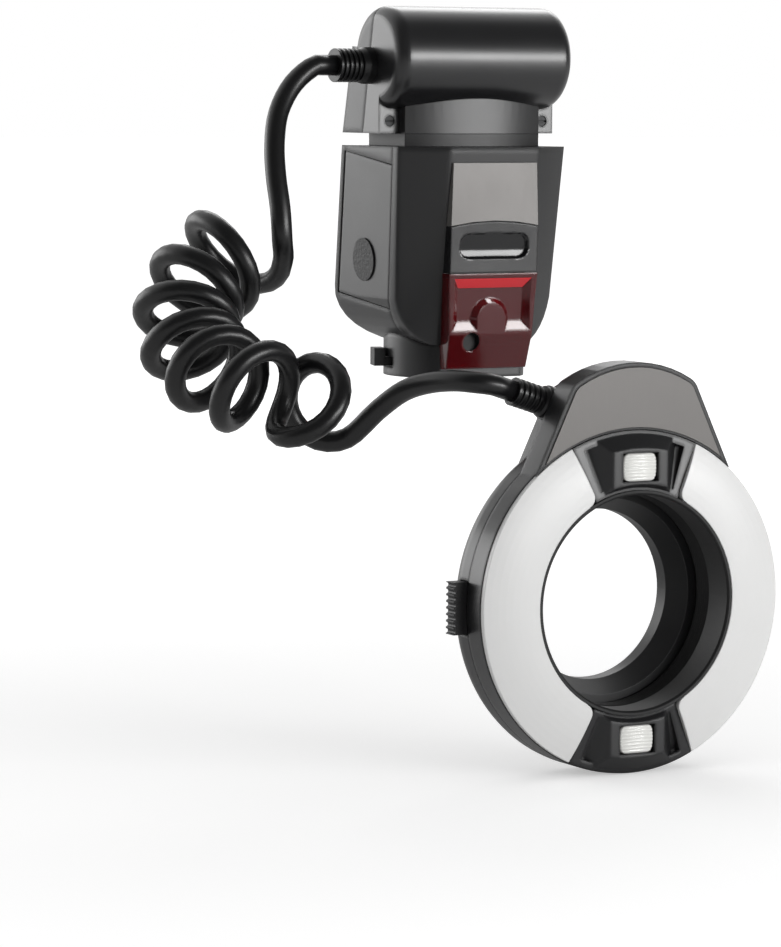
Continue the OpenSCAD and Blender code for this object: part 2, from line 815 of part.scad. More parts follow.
module battery_contacts() {
    reach = cell_r - contact_inset;
    color(steel) at_cells()
        for (z = [cell_low - contact_t, cell_low + cell_len])
            box([cell_x - reach, cell_y - reach, z],
                [cell_x + cell_pitch + reach, cell_y + cell_pitch + reach, z + contact_t]);
}

// Slab across the inside of the body, clear of the shell
module inside_slab(x) {
    difference() {
        intersection() {
            body_solid(wall + slab_gap);
            box([x[0], -far, 0], [x[1], far, far]);
        }
        at_rear() box([-far, -far, -control_room], [far, far, far]);
    }
}

module battery_divider() {
    color(dark) inside_slab(divider_x);
}

module main_board() {
    color(board_green) inside_slab(main_board_x);
}

module storage_capacitor() {
    color([0.12, 0.14, 0.2]) at_cells() translate(capacitor_at) cylinder(r = capacitor_r, h = capacitor_len);
}

// Front panels: between the panel line and the body's front, with a gap where two panels meet
module panel_blank(outline, low_z, high_z, skin) {
    line_z = concat([low_z], [for (p = panel_line) if (p[0] > low_z && p[0] < high_z) p[0]], [high_z]);
    difference() {
        intersection() {
            prism_x(concat([for (z = line_z) [lookup(z, panel_line) + skin, z]],
                [[panel_back_y, high_z], [panel_back_y, low_z]]), far);
            prism_y(outline, -far, far);
        }
        body_solid(0);
    }
}

function arched(half_low, half_high, low_z, high_z, arch_low, arch_high) =
    both_sides(concat([[0, low_z + arch_low], [half_low / 2, low_z + arch_low * 0.75], [half_low, low_z],
        [half_high, high_z], [half_high / 2, high_z + arch_high * 0.75], [0, high_z + arch_high]]));

module body_nameplate() {
    color(warm_grey)
        panel_blank(arched(panel_half_w - panel_gap, panel_half_w - plate_taper, plate_low_z + panel_gap,
            plate_top_z, plate_arch, 0), plate_low_z - 1, plate_top_z, 0);
}

module gloss_panel() {
    half = panel_half_w - panel_gap;
    outline = arched(half, half, gloss_low_z + panel_gap, plate_low_z, 0, plate_arch);
    reach = scoop_half_w - scoop_r;
    scoop = concat(arc([reach, scoop_z], scoop_r, 90, -90, 12), arc([-reach, scoop_z], scoop_r, 270, 90, 12));
    face_y = lookup(scoop_z, panel_line);
    floor_y = face_y + scoop_depth;
    low = scoop_z - scoop_r;
    color([0.04, 0.04, 0.05]) difference() {
        panel_blank(outline, gloss_low_z - 1, plate_low_z + plate_arch, 0);
        intersection() {
            translate([0, floor_y, 0]) rotate([90, 0, 0]) linear_extrude(far) polygon(scoop);
            prism_x([[floor_y, low + scoop_slope], [floor_y, far], [face_y - scoop_depth, far],
                [face_y - scoop_depth, low - scoop_slope]], far);
        }
    }
}

function slope_at(pair, depth) = pair[0] + (pair[1] - pair[0]) * depth / recess_depth;

// Bevelled recess with a round-ended tongue that rises to the window's face
module window_recess() {
    out = -1;
    deep = recess_depth + 1;
    translate([0, lookup(recess_z, panel_line), recess_z]) rotate([recess_tilt, 0, 0]) difference() {
        intersection() {
            prism_x([[out, slope_at(recess_high, out)], [recess_depth, recess_high[1]],
                [recess_depth, recess_low[1]], [out, slope_at(recess_low, out)]], far);
            translate([0, 0, -far]) linear_extrude(2 * far)
                polygon(both_sides([[slope_at(recess_half, out), out], [slope_at(recess_half, deep), deep]]));
        }
        translate([0, out, tongue_z]) rotate([-90, 0, 0])
            cylinder(r1 = slope_at(tongue_r, out), r2 = slope_at(tongue_r, deep), h = deep - out);
        translate([0, 0, tongue_z - far]) linear_extrude(far)
            polygon(both_sides([[slope_at(tongue_r, out), out], [slope_at(tongue_r, deep), deep]]));
    }
}

module red_window() {
    t = window_t;
    low = panel_half_w - window_taper;
    color([0.55, 0.05, 0.05]) difference() {
        panel_blank(arched(low, panel_half_w, window_low_z, gloss_low_z, 0, 0),
            window_low_z, gloss_low_z, 0);
        difference() {
            panel_blank(arched(low - t, panel_half_w - t, window_low_z + t, gloss_low_z - t, 0, 0),
                window_low_z, gloss_low_z, window_front_t);
            box([-far, -12, 0], [far, far, far]);
        }
        window_recess();
        translate([sensor_x, lookup(sensor_z, panel_line) + sensor_depth, sensor_z]) rotate([90, 0, 0])
            cylinder(r = sensor_r, h = 10);
        box([-far, base_front_y - seat_gap, 0], [far, far, belly_z + 1]);
    }
}

module assist_lens() {
    color([0.75, 0.2, 0.18])
        panel_blank(both_sides([[assist_half_w, assist_low_z], [assist_half_w, assist_high_z]]),
            assist_low_z, assist_high_z, window_front_t + move_gap);
}

module window_sensor() {
    front = lookup(sensor_z - sensor_r, panel_line) + window_front_t + 2 * seat_gap;
    color(black) difference() {
        translate([sensor_x, sensor_back_y, sensor_z]) rotate([90, 0, 0])
            cylinder(r = sensor_r, h = sensor_back_y - front);
        translate([sensor_x, front + 0.5, sensor_z]) rotate([90, 0, 0]) cylinder(r = sensor_r - 0.9, h = 5);
        body_solid(0);
    }
}

// Neck and control head

function neck_outline() =
    let (sag = neck_side_y - neck_front_y, r = (neck_half_w * neck_half_w + sag * sag) / (2 * sag),
        half = asin(neck_half_w / r))
    concat(arc([0, neck_front_y + r], r, 270 - half, 270 + half, 16),
        [[neck_half_w, neck_back_y], [-neck_half_w, neck_back_y]]);

module neck() {
    color(dark) translate([0, 0, body_top]) linear_extrude(neck_h) polygon(neck_outline());
}

module head_solid(inset) {
    half = head_half_len - inset;
    r = head_r - inset;
    round_r = drum_round - inset;
    rear = [sin(90 - head_back_tilt), cos(90 - head_back_tilt)];
    touch = [drum_y, drum_z] + r * rear;
    low = head_z0 + inset;
    rear_y = touch[0] + (touch[1] - low) * tan(head_back_tilt);
    translate([0, drum_y, drum_z]) rotate([0, 90, 0]) rotate_extrude() polygon(concat([[0, -half]],
        arc([r - round_r, round_r - half], round_r, -90, 0),
        arc([r - round_r, half - round_r], round_r, 0, 90),
        [[0, half]]));
    prism_x([[leg_front_y + inset, low], [rear_y, low], touch, [drum_y, drum_z],
        [leg_front_y + inset, drum_z - 12]], half);
}

module head_skin() {
    difference() {
        head_solid(0);
        head_solid(wall);
        at_head_gland() translate([0, 0, -6]) cylinder(r = gland_neck_r + seat_gap, h = 8);
    }
}

module head_side(front) {
    intersection() {
        children();
        translate([0, head_split_y, head_z0]) rotate([head_split_tilt, 0, 0])
            box([-far, front ? -far : eps, -far], [far, front ? 0 : far, far]);
    }
}

module head_front_shell() {
    color(black) difference() {
        head_side(true) head_skin();
        for (side = [-1, 1])
            translate([side * screw_x, leg_front_y + 1.2, screw_z]) rotate([90, 0, 0])
                cylinder(r = screw_r + seat_gap, h = 10);
    }
}

module head_screws() {
    color(steel) for (side = [-1, 1])
        translate([side * screw_x, leg_front_y + 1.2, screw_z]) rotate([90, 0, 0]) difference() {
            cylinder(r = screw_r, h = 0.9);
            translate([-screw_r, -0.25, 0.4]) cube([2 * screw_r, 0.5, 1]);
        }
}

module at_glass() {
    rear = [sin(90 - head_back_tilt), cos(90 - head_back_tilt)];
    y = drum_y + head_r * rear[0] + (drum_z + head_r * rear[1] - glass_mid_z) * tan(head_back_tilt);
    translate([0, y, glass_mid_z]) rotate([90 - head_back_tilt, 0, 180]) children();
}

module head_rear_shell() {
    color(black) difference() {
        head_side(false) head_skin();
        at_glass() box([-glass_w / 2, -glass_h / 2, -2 * wall], [glass_w / 2, glass_h / 2, wall]);
    }
}

module display_window() {
    half = [glass_w / 2 - seat_gap, glass_h / 2 - seat_gap, 0];
    color([0.1, 0.12, 0.12]) at_glass() box(-half - [0, 0, glass_t], half + [0, 0, 0.2]);
}

module display_module() {
    color([0.45, 0.5, 0.45]) at_glass() box([-glass_w / 2 + 1, -glass_h / 2 + 1, -glass_t - 2.4],
        [glass_w / 2 - 1, glass_h / 2 - 1, -glass_t - 0.1]);
}

module head_collar() {
    color(dark) difference() {
        translate([0, 0, head_z0]) linear_extrude(head_r) polygon(neck_outline());
        head_solid(0);
        box([-far, drum_y, 0], [far, far, far + head_z0]);
    }
}

module at_head_gland() {
    translate([-head_half_len, head_gland_y, head_gland_z]) rotate([0, -90, 0]) children();
}

module head_gland() {
    at_head_gland() ribbed_gland(head_gland_r, head_gland_len, 4.5, 4);
}

// Base, foot and lock

module base_block() {
    slot_low = lever_z0 - move_gap;
    slot_h = lever_t + 2 * move_gap;
    color(black) difference() {
        translate([0, 0, base_z0]) cylinder(r = base_r, h = base_h);
        box([-far, -far, 0], [far, base_front_y, far]);
        body_solid(0);
        translate([0, 0, slot_low]) difference() {
            union() {
                cylinder(r = lever_hub_r + move_gap, h = slot_h);
                linear_extrude(slot_h) polygon(concat([[0, 0]],
                    arc([0, 0], 2 * base_r, lever_angle - lever_swing - slot_spare,
                        lever_angle + slot_spare, 12)));
            }
            translate([0, 0, -1]) cylinder(r = post_r, h = slot_h + 2);
        }
        translate([0, pin_y, 0]) cylinder(r = pin_r + run_gap, h = slot_low + 1);
    }
}

module foot_plate() {
    color(steel) difference() {
        union() {
            box([-foot_w / 2, -foot_len / 2, 0], [foot_w / 2, foot_len / 2, foot_t]);
            box([-foot_neck_w / 2, -foot_len / 2, foot_t - eps], [foot_neck_w / 2, foot_len / 2, base_z0]);
        }
        translate([0, pin_y, -1]) cylinder(r = pin_r + run_gap, h = 20);
        for (p = contact_places)
            translate([p[0], p[1], -1]) cylinder(r = contact_r + run_gap, h = contact_h + 1);
    }
}

module foot_contacts() {
    color([0.8, 0.68, 0.35]) for (p = contact_places)
        translate([p[0], p[1], 0]) cylinder(r = contact_r, h = contact_h);
}

module lock_lever() {
    color(dark) difference() {
        union() {
            translate([0, 0, lever_z0]) cylinder(r = lever_hub_r, h = lever_t);
            rotate([0, 0, lever_angle]) {
                box([post_r + 1, -lever_arm_w / 2, lever_z0],
                    [tab_r[1], lever_arm_w / 2, lever_z0 + lever_t]);
                box([tab_r[0], -tab_w / 2, lever_z0], [tab_r[1], tab_w / 2, tab_top]);
            }
        }
        translate([0, 0, lever_z0 - 1]) cylinder(r = post_r + run_gap, h = lever_t + 2);
    }
}

module lock_pin() {
    color(steel) translate([0, pin_y, 0.05]) cylinder(r = pin_r, h = pin_top);
}

// Cord: one smooth line from gland to gland, cut where the curls begin and end

function unit(v) = v / norm(v);

// Point of a smooth curve through p, at s counted in points
function spline_at(p, s) =
    let (last = len(p) - 1, i = min(floor(s), last - 1), t = s - i,
        a = p[max(i - 1, 0)], b = p[i], c = p[i + 1], d = p[min(i + 2, last)])
    0.5 * (2 * b + t * (c - a) + t * t * (2 * a - 5 * b + 4 * c - d) + t * t * t * (3 * b - a - 3 * c + d));

// That curve from its second point to its last but one, with n steps between each two
function spline(p, n) = [for (i = [n:n * (len(p) - 2)]) spline_at(p, i / n)];

function tangents(p) = let (last = len(p) - 1)
    [for (i = [0:last]) unit(p[min(i + 1, last)] - p[max(i - 1, 0)])];

// Side vectors carried along a line without turning about it
function carry(t, u, i = 0) = i >= len(t) ? [] :
    let (side = unit(u - (u * t[i]) * t[i])) concat([side], carry(t, side, i + 1));

// Every nth entry of a list, from its first to its last
function thinned(list, n) = [for (i = [0:n:len(list) - 1]) list[i]];

// Curls that wind round a bent axis, a little wider at the top than at the bottom
function curl_line() =
    let (n = fine * curl_rings, spans = len(curl_axis) - 1,
        axis = [for (i = [0:n]) spline_at(curl_axis, spans * i / n)],
        t = tangents(axis), u = carry(t, [0, 0, 1]))
    [for (i = [0:n]) let (a = curl_phase - 360 * curls * i / n, r = curl_r + curl_flare * (1 - 2 * i / n))
        axis[i] + r * (cos(a) * u[i] + sin(a) * cross(t[i], u[i]))];

curl_path = curl_line();
curl_t = tangents(curl_path);
curl_end = len(curl_path) - 1;
upper_exit = [-head_half_len - head_gland_len, head_gland_y, head_gland_z];
upper_path = concat([upper_exit], spline(concat([upper_exit, upper_exit - [cord_d, 0, 0]], upper_route,
    [curl_path[0], curl_path[fine]]), 2));
gland_out = [-cos(ring_gland_tilt), 0, sin(ring_gland_tilt)];
lower_exit = [-ring_gland_x, ring_depth - ring_reach - ring_gland_z, ring_gland_y - axis_drop]
    + ring_gland_len * gland_out;
lower_path = concat(spline(concat([curl_path[curl_end - fine], curl_path[curl_end]], lower_route,
    [lower_exit + cord_d * gland_out, lower_exit]), 2), [lower_exit]);

// Clear space between one strand of the curls and the next
least_gap = min([for (i = [0:curl_end], j = [i + 4 * fine:curl_end])
    norm(curl_path[i] - curl_path[j])]) - cord_d;
echo(str("least gap between curls, mm: ", least_gap));

// Round tube along a line
module tube(p, t, r, sides) {
    u = carry(t, abs(t[0][2]) > 0.8 ? [1, 0, 0] : [0, 0, 1]);
    n = len(p);
    rings = [for (i = [0:n - 1], k = [0:sides - 1])
        let (a = 360 * k / sides) p[i] + r * (cos(a) * u[i] + sin(a) * cross(t[i], u[i]))];
    walls = [for (i = [0:n - 2], k = [0:sides - 1])
        let (a = i * sides + k, b = i * sides + (k + 1) % sides)
        each [[a, a + sides, b], [b, a + sides, b + sides]]];
    start = [for (k = [0:sides - 1]) k];
    end = [for (k = [sides - 1:-1:0]) (n - 1) * sides + k];
    polyhedron(points = rings, faces = concat(walls, [start, end]));
}

// Tube of a free stretch, square to what each of its ends meets
module lead(p, first_t, last_t) {
    t = tangents(p);
    last = len(p) - 1;
    color(black) tube(p, [for (i = [0:last]) i == 0 ? first_t : i == last ? last_t : t[i]], cord_d / 2, 8);
}

module cord_coil() {
    color(black) tube(thinned(curl_path, fine), thinned(curl_t, fine), cord_d / 2, 6);
}

ring_front_shell();
ring_rear_shell();
diffuser(90 + pod_half_angle, 270 - pod_half_angle);  // diffuser_left
diffuser(-90 + pod_half_angle, 90 - pod_half_angle);  // diffuser_right
ring_nameplate();
pod(0);  // pod_top
pod(180);  // pod_bottom
lamp_lens(0);  // lamp_lens_top
lamp_lens(180);  // lamp_lens_bottom
bore_liner();
flash_tube(90 + pod_half_angle + tube_end_angle, 270 - pod_half_angle - tube_end_angle);  // flash_tube_left
flash_tube(-90 + pod_half_angle + tube_end_angle, 90 - pod_half_angle - tube_end_angle);  // flash_tube_right
reflector(90 + pod_half_angle + reflector_end_angle, 270 - pod_half_angle - reflector_end_angle);  // reflector_left
reflector(-90 + pod_half_angle + reflector_end_angle, 90 - pod_half_angle - reflector_end_angle);  // reflector_right
ring_board();
ring_gland();
release_button(-1);  // release_button_left
release_button(1);  // release_button_right
latch_plate(-1);  // latch_plate_left
latch_plate(1);  // latch_plate_right
latch_spring(-1);  // latch_spring_left
latch_spring(1);  // latch_spring_right
adapter_ring();
head_front_shell();
head_rear_shell();
head_collar();
head_gland();
head_screws();
display_window();
display_module();
body_front_shell();
body_rear_shell();
neck();
body_nameplate();
gloss_panel();
red_window();
assist_lens();
window_sensor();
battery_door();
door_pad();
battery_cells();
battery_divider();
battery_contacts();
main_board();
storage_capacitor();
base_block();
foot_plate();
foot_contacts();
lock_lever();
lock_pin();
key(-1);  // key_left
key(0);  // key_middle
key(1);  // key_right
select_dial();
set_key();
power_switch();
test_key();
lead(upper_path, [-1, 0, 0], curl_t[0]);  // cord_upper
cord_coil();
lead(lower_path, curl_t[curl_end], -gland_out);  // cord_lower
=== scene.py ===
import json
import math

import bmesh
import bpy
from mathutils import Matrix, Vector


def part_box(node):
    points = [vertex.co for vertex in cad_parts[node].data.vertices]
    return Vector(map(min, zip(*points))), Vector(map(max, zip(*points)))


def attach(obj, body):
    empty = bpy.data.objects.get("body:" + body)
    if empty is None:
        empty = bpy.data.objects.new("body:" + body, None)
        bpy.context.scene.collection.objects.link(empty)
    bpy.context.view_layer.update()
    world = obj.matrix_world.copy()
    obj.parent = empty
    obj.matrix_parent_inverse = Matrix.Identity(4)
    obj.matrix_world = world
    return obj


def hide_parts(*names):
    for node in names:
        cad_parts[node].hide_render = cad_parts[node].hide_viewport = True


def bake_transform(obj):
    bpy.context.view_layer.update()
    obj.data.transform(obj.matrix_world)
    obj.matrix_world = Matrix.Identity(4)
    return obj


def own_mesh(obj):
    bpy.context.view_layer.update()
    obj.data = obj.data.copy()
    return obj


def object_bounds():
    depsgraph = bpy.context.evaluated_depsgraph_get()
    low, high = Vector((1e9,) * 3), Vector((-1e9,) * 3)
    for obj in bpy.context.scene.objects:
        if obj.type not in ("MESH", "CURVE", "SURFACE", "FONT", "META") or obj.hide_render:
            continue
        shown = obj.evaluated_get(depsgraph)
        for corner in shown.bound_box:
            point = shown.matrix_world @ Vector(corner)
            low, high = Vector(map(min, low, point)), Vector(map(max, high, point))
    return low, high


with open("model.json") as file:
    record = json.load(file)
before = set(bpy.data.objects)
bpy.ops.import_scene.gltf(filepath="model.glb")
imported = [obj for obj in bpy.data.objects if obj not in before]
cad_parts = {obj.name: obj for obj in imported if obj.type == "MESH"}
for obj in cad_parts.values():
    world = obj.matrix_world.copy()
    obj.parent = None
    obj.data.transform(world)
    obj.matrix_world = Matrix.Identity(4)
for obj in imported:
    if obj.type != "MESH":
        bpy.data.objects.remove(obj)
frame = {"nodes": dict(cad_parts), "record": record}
cad_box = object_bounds()

MM = 0.001
UP = Vector((0, 0, 1))
nodes = frame["nodes"]
scene = bpy.context.scene


def point(x, y, z):
    """A point given in millimetres."""
    return Vector((x, y, z)) * MM


# Camera at the viewing angle: 29 degrees to the left of the front, 5.6 degrees down
IMAGE_HEIGHT = 947
FOCAL_PIXELS = 4000
SENSOR = 36.0
CAMERA_AT = point(-653.1, -1136.2, 100.0)
CAMERA_TURN, CAMERA_PITCH, CAMERA_ROLL = (math.radians(a) for a in (-29, -5.6, 0.4))
CLIP_NEAR, CLIP_FAR = 0.05, 50.0

camera_data = bpy.data.cameras.new("camera")
camera_data.sensor_fit = "VERTICAL"
camera_data.sensor_height = SENSOR
camera_data.lens = SENSOR * FOCAL_PIXELS / IMAGE_HEIGHT
camera_data.clip_start, camera_data.clip_end = CLIP_NEAR, CLIP_FAR
camera = bpy.data.objects.new("camera", camera_data)
scene.collection.objects.link(camera)
camera.matrix_world = (
    Matrix.Translation(CAMERA_AT)
    @ Matrix.Rotation(CAMERA_TURN, 4, "Z")
    @ Matrix.Rotation(math.pi / 2 + CAMERA_PITCH, 4, "X")
    @ Matrix.Rotation(CAMERA_ROLL, 4, "Z")
)
scene.camera = camera

# Cord: the route of the solid model, in millimetres and degrees
CORD_D = 6.6
CORD_SIDES = 16
LEAD_STEPS = 4
FINE = 3
CURLS = 7.45
CURL_RINGS = 60
CURL_R = 13.4
CURL_FLARE = 1.6
CURL_PHASE = 240
CURL_AXIS = [(-76, 1, 49), (-90.5, -3, 39.5), (-101, -9.5, 30.5), (-106, -19, 21),
             (-106, -31.5, 13), (-103, -47, 8), (-91, -61, 4), (-68, -43, 0)]
UPPER_EXIT = Vector((-45.5, -1, 105))
UPPER_ROUTE = [(-60.5, -1.5, 99), (-67, -4, 90), (-70.5, -8, 80), (-72, -12, 70), (-72, -15, 60),
               (-71.5, -15.5, 50)]
LOWER_ROUTE = [(-60, -58, -1), (-56.5, -68, 5.5), (-53.5, -78, 8.5), (-50.2, -87.7, 9.8),
               (-46.3, -94, 9.6)]
GLAND_TILT = math.radians(18)
GLAND_ROOT, GLAND_LENGTH = Vector((-23, -96, 3)), 12
GLAND_OUT = Vector((-math.cos(GLAND_TILT), 0, math.sin(GLAND_TILT)))
LOWER_EXIT = GLAND_ROOT + GLAND_LENGTH * GLAND_OUT


def spline_at(points, s):
    """Point at s on a smooth curve that passes each given point where s is its index."""
    last = len(points) - 1
    i = min(int(math.floor(s)), last - 1)
    t = s - i
    a, b, c, d = (Vector(points[k]) for k in (max(i - 1, 0), i, i + 1, min(i + 2, last)))
    square, cube = 2 * a - 5 * b + 4 * c - d, 3 * b - a - 3 * c + d
    return 0.5 * (2 * b + t * (c - a) + t * t * square + t ** 3 * cube)


def spline(points, n):
    """The curve from the second point to the last but one, in n steps for each span."""
    return [spline_at(points, i / n) for i in range(n, n * (len(points) - 2) + 1)]


def tangents(points):
    last = len(points) - 1
    return [(points[min(i + 1, last)] - points[max(i - 1, 0)]).normalized()
            for i in range(last + 1)]


def carried(directions, first):
    """A direction square to each of the given ones, carried along them without twist."""
    out = [(first - first.dot(directions[0]) * directions[0]).normalized()]
    for d in directions[1:]:
        out.append((out[-1] - out[-1].dot(d) * d).normalized())
    return out


def curl_line():
    """Middle line of the curls, wound about their bent axis."""
    n = FINE * CURL_RINGS
    axis = [spline_at(CURL_AXIS, (len(CURL_AXIS) - 1) * i / n) for i in range(n + 1)]
    along = tangents(axis)
    side = carried(along, UP)
    line = []
    for i in range(n + 1):
        angle = math.radians(CURL_PHASE - 360 * CURLS * i / n)
        r = CURL_R + CURL_FLARE * (1 - 2 * i / n)
        across = along[i].cross(side[i])
        line.append(axis[i] + r * (math.cos(angle) * side[i] + math.sin(angle) * across))
    return line


def cord_line():
    """Middle line of the whole cord in metres: upper lead, curls and lower lead."""
    curl = curl_line()
    upper_start, lower_end = UPPER_EXIT - Vector((CORD_D, 0, 0)), LOWER_EXIT + CORD_D * GLAND_OUT
    upper_knots = [UPPER_EXIT, upper_start, *UPPER_ROUTE, curl[0], curl[FINE]]
    lower_knots = [curl[-1 - FINE], curl[-1], *LOWER_ROUTE, lower_end, LOWER_EXIT]
    upper = [UPPER_EXIT] + spline(upper_knots, LEAD_STEPS)
    lower = spline(lower_knots, LEAD_STEPS) + [LOWER_EXIT]
    return [p * MM for p in upper + curl[1:-1] + lower]


def mesh_object(name, verts, faces, smooth=True):
    mesh = bpy.data.meshes.new(name)
    mesh.from_pydata([tuple(v) for v in verts], [], faces)
    mesh.update()
    if smooth:
        mesh.shade_smooth()
    obj = bpy.data.objects.new(name, mesh)
    scene.collection.objects.link(obj)
    return obj


def tube(name, line, radius, sides):
    """Closed round tube about a line."""
    along = tangents(line)
    side = carried(along, UP)
    verts, faces = [], []
    for p, t, u in zip(line, along, side):
        v = t.cross(u)
        for k in range(sides):
            angle = 2 * math.pi * k / sides
            verts.append(p + radius * (math.cos(angle) * u + math.sin(angle) * v))
    for i in range(len(line) - 1):
        for k in range(sides):
            a, b = i * sides + k, i * sides + (k + 1) % sides
            faces.append((a, b, b + sides, a + sides))
    faces.append(tuple(reversed(range(sides))))
    faces.append(tuple(range((len(line) - 1) * sides, len(line) * sides)))
    return mesh_object(name, verts, faces)


cord_points = cord_line()
cord = tube("cord", cord_points, CORD_D / 2 * MM, CORD_SIDES)
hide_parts("cord_upper", "cord_coil", "cord_lower")
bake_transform(cord)

# Materials
BEVEL_SAMPLES = 6
FINE_DETAIL, BROAD_DETAIL = 3.0, 4.0
NOISE_LOW, NOISE_HIGH = 0.3, 0.7
WORN_FROM, WORN_TO = 1.0, 0.8
RUBBED_GAIN, RUBBED_LIFT = 2.2, 0.03


def add(tree, kind, inputs=None, **settings):
    """A shader node, with its inputs set to values or linked to sockets."""
    n = tree.nodes.new("ShaderNode" + kind)
    for key, value in settings.items():
        setattr(n, key, value)
    for key, value in (inputs or {}).items():
        if isinstance(value, bpy.types.NodeSocket):
            tree.links.new(value, n.inputs[key])
        else:
            n.inputs[key].default_value = value
    return n


def mixed(tree, factor, a, b):
    """Colour between two others."""
    return add(tree, "Mix", {"Factor": factor, "A": a, "B": b}, data_type="RGBA").outputs["Result"]


def noise(tree, where, size, detail):
    inputs = {"Vector": where, "Scale": 1 / size, "Detail": detail}
    return add(tree, "TexNoise", inputs).outputs["Fac"]


def shades(colour, spread):
    return [tuple(c * k for c in colour) + (1.0,) for k in (1 - spread, 1 + spread)]


def surface(name, colour, rough, spread=0.12, grain=0.0004, depth=0.00001, stretch=(1, 1, 1),
            blotch=0.02, rough_spread=0.05, edge=0.00035, wear=0.0, **shader):
    """A moulded, brushed or painted surface: fine grain, broad tone changes, soft and worn edges.

    Sizes are in metres: grain and blotch across, depth of the grain, edge the radius shaded.
    """
    m = bpy.data.materials.new(name)
    m.use_nodes = True
    tree = m.node_tree
    bsdf = tree.nodes["Principled BSDF"]
    for key, value in shader.items():
        bsdf.inputs[key.replace("_", " ")].default_value = value
    where = add(tree, "TexCoord").outputs["Object"]
    drawn = add(tree, "Mapping", {"Vector": where, "Scale": stretch}).outputs["Vector"]
    fine = noise(tree, drawn, grain, FINE_DETAIL)
    broad = noise(tree, where, blotch, BROAD_DETAIL)
    both = add(tree, "Math", {0: fine, 1: broad}, operation="ADD").outputs[0]
    half = add(tree, "Math", {0: both, 1: 0.5}, operation="MULTIPLY").outputs[0]
    tone = mixed(tree, half, *shades(colour, spread))
    rounded = add(tree, "Bevel", {"Radius": edge}, samples=BEVEL_SAMPLES).outputs["Normal"]
    if wear:
        plain = add(tree, "NewGeometry").outputs["Normal"]
        turn = add(tree, "VectorMath", {0: rounded, 1: plain}, operation="DOT_PRODUCT")
        worn = add(tree, "MapRange", {"Value": turn.outputs["Value"], "From Min": WORN_FROM,
                                      "From Max": WORN_TO, "To Max": wear}).outputs[0]
        rubbed = tuple(min(1.0, c * RUBBED_GAIN + RUBBED_LIFT) for c in colour) + (1.0,)
        tone = mixed(tree, worn, tone, rubbed)
    tree.links.new(tone, bsdf.inputs["Base Color"])
    gloss = add(tree, "MapRange", {"Value": half, "From Min": NOISE_LOW, "From Max": NOISE_HIGH,
                                   "To Min": rough - rough_spread, "To Max": rough + rough_spread})
    tree.links.new(gloss.outputs[0], bsdf.inputs["Roughness"])
    bump = add(tree, "Bump", {"Strength": 1.0, "Distance": depth, "Height": fine, "Normal": rounded})
    tree.links.new(bump.outputs["Normal"], bsdf.inputs["Normal"])
    return m


